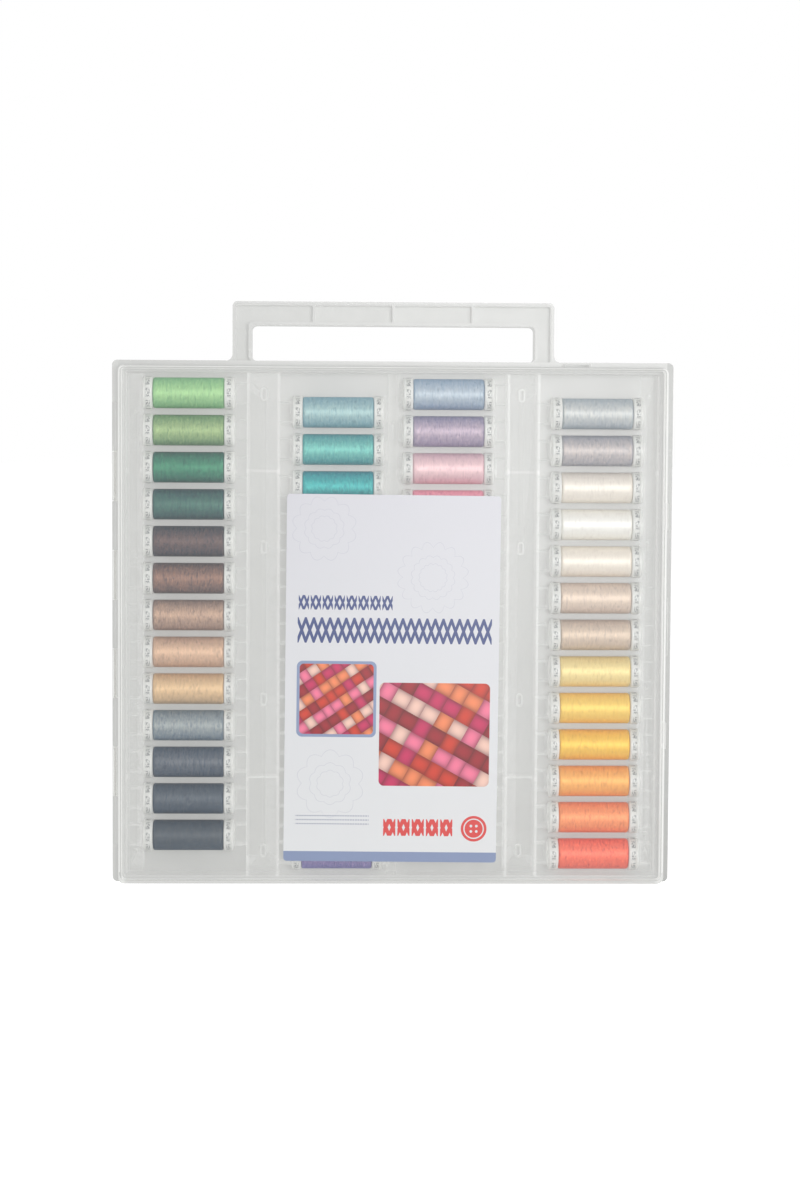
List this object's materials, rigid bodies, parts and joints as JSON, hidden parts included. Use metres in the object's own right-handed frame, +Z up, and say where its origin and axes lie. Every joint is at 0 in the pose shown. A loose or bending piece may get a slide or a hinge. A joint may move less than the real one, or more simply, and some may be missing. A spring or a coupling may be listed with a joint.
{
  "type": "thread storage case",
  "caption": "Flat upright case with a carrying handle, holding columns of thread spools on both sides of a centre wall behind two hinged clear lids.",
  "frame": {"origin": "middle of the base, on the surface that the case stands on", "axes": "+X to the right and -Y towards the viewer of the front lid, +Z up towards the handle"},
  "size_m": [0.331, 0.0554, 0.344],
  "materials": {
    "frame_plastic": "frosted translucent polypropylene",
    "lid_plastic": "clear frosted polypropylene",
    "spool_plastic": "white moulded plastic",
    "pin_plastic": "white plastic rod",
    "card_paper": "coated card",
    "front_thread_1": "satin sewing thread",
    "front_top_thread_1": "satin sewing thread",
    "front_thread_2": "satin sewing thread",
    "front_top_thread_2": "satin sewing thread",
    "front_thread_3": "satin sewing thread",
    "front_top_thread_3": "satin sewing thread",
    "front_thread_4": "satin sewing thread",
    "front_top_thread_4": "satin sewing thread",
    "back_thread_1": "satin sewing thread",
    "back_top_thread_1": "satin sewing thread",
    "back_thread_2": "satin sewing thread",
    "back_top_thread_2": "satin sewing thread",
    "back_thread_3": "satin sewing thread",
    "back_top_thread_3": "satin sewing thread",
    "back_thread_4": "satin sewing thread",
    "back_top_thread_4": "satin sewing thread"
  },
  "bodies": {
    "case": {"centre_frame": "frame_plastic", "carrying_handle": "frame_plastic", "front_hinge_pin": "pin_plastic", "front_outer_rail_left": "frame_plastic", "front_channel_strip_left": "frame_plastic", "front_channel_tabs_left": "frame_plastic", "front_middle_rail": "frame_plastic", "front_channel_strip_right": "frame_plastic", "front_channel_tabs_right": "frame_plastic", "front_outer_rail_right": "frame_plastic", "front_spools_1": "spool_plastic", "front_threads_1": "front_thread_1", "front_spools_2": "spool_plastic", "front_threads_2": "front_thread_2", "front_spools_3": "spool_plastic", "front_threads_3": "front_thread_3", "front_spools_4": "spool_plastic", "front_threads_4": "front_thread_4", "back_hinge_pin": "pin_plastic", "back_outer_rail_left": "frame_plastic", "back_channel_strip_left": "frame_plastic", "back_channel_tabs_left": "frame_plastic", "back_middle_rail": "frame_plastic", "back_channel_strip_right": "frame_plastic", "back_channel_tabs_right": "frame_plastic", "back_outer_rail_right": "frame_plastic", "back_spools_1": "spool_plastic", "back_threads_1": "back_thread_1", "back_spools_2": "spool_plastic", "back_threads_2": "back_thread_2", "back_spools_3": "spool_plastic", "back_threads_3": "back_thread_3", "back_spools_4": "spool_plastic", "back_threads_4": "back_thread_4"},
    "front_lid": {"front_lid": "lid_plastic", "cover_card": "card_paper"},
    "back_lid": {"back_lid": "lid_plastic"},
    "front_top_spool_1": {"front_top_spool_1": "spool_plastic", "front_top_thread_1": "front_top_thread_1"},
    "front_top_spool_2": {"front_top_spool_2": "spool_plastic", "front_top_thread_2": "front_top_thread_2"},
    "front_top_spool_3": {"front_top_spool_3": "spool_plastic", "front_top_thread_3": "front_top_thread_3"},
    "front_top_spool_4": {"front_top_spool_4": "spool_plastic", "front_top_thread_4": "front_top_thread_4"},
    "back_top_spool_1": {"back_top_spool_1": "spool_plastic", "back_top_thread_1": "back_top_thread_1"},
    "back_top_spool_2": {"back_top_spool_2": "spool_plastic", "back_top_thread_2": "back_top_thread_2"},
    "back_top_spool_3": {"back_top_spool_3": "spool_plastic", "back_top_thread_3": "back_top_thread_3"},
    "back_top_spool_4": {"back_top_spool_4": "spool_plastic", "back_top_thread_4": "back_top_thread_4"}
  },
  "joints": [
    {"name": "front_lid_hinge", "type": "hinge", "parent": "case", "child": "front_lid", "pos_m": [-0.1637, -0.012, 0.1533], "axis": [0, 0, -1], "range_deg": [0, 180]},
    {"name": "back_lid_hinge", "type": "hinge", "parent": "case", "child": "back_lid", "pos_m": [0.1637, 0.012, 0.1533], "axis": [0, 0, -1], "range_deg": [0, 180]},
    {"name": "front_top_spool_1_spin", "type": "hinge", "parent": "case", "child": "front_top_spool_1", "pos_m": [-0.1204, -0.0113, 0.28975], "axis": [1, 0, 0], "continuous": true},
    {"name": "front_top_spool_2_spin", "type": "hinge", "parent": "case", "child": "front_top_spool_2", "pos_m": [-0.0325, -0.0113, 0.27883], "axis": [1, 0, 0], "continuous": true},
    {"name": "front_top_spool_3_spin", "type": "hinge", "parent": "case", "child": "front_top_spool_3", "pos_m": [0.0325, -0.0113, 0.28975], "axis": [1, 0, 0], "continuous": true},
    {"name": "front_top_spool_4_spin", "type": "hinge", "parent": "case", "child": "front_top_spool_4", "pos_m": [0.1204, -0.0113, 0.27883], "axis": [1, 0, 0], "continuous": true},
    {"name": "back_top_spool_1_spin", "type": "hinge", "parent": "case", "child": "back_top_spool_1", "pos_m": [0.1204, 0.0113, 0.28975], "axis": [1, 0, 0], "continuous": true},
    {"name": "back_top_spool_2_spin", "type": "hinge", "parent": "case", "child": "back_top_spool_2", "pos_m": [0.0325, 0.0113, 0.27883], "axis": [1, 0, 0], "continuous": true},
    {"name": "back_top_spool_3_spin", "type": "hinge", "parent": "case", "child": "back_top_spool_3", "pos_m": [-0.0325, 0.0113, 0.28975], "axis": [1, 0, 0], "continuous": true},
    {"name": "back_top_spool_4_spin", "type": "hinge", "parent": "case", "child": "back_top_spool_4", "pos_m": [-0.1204, 0.0113, 0.27883], "axis": [1, 0, 0], "continuous": true}
  ]
}
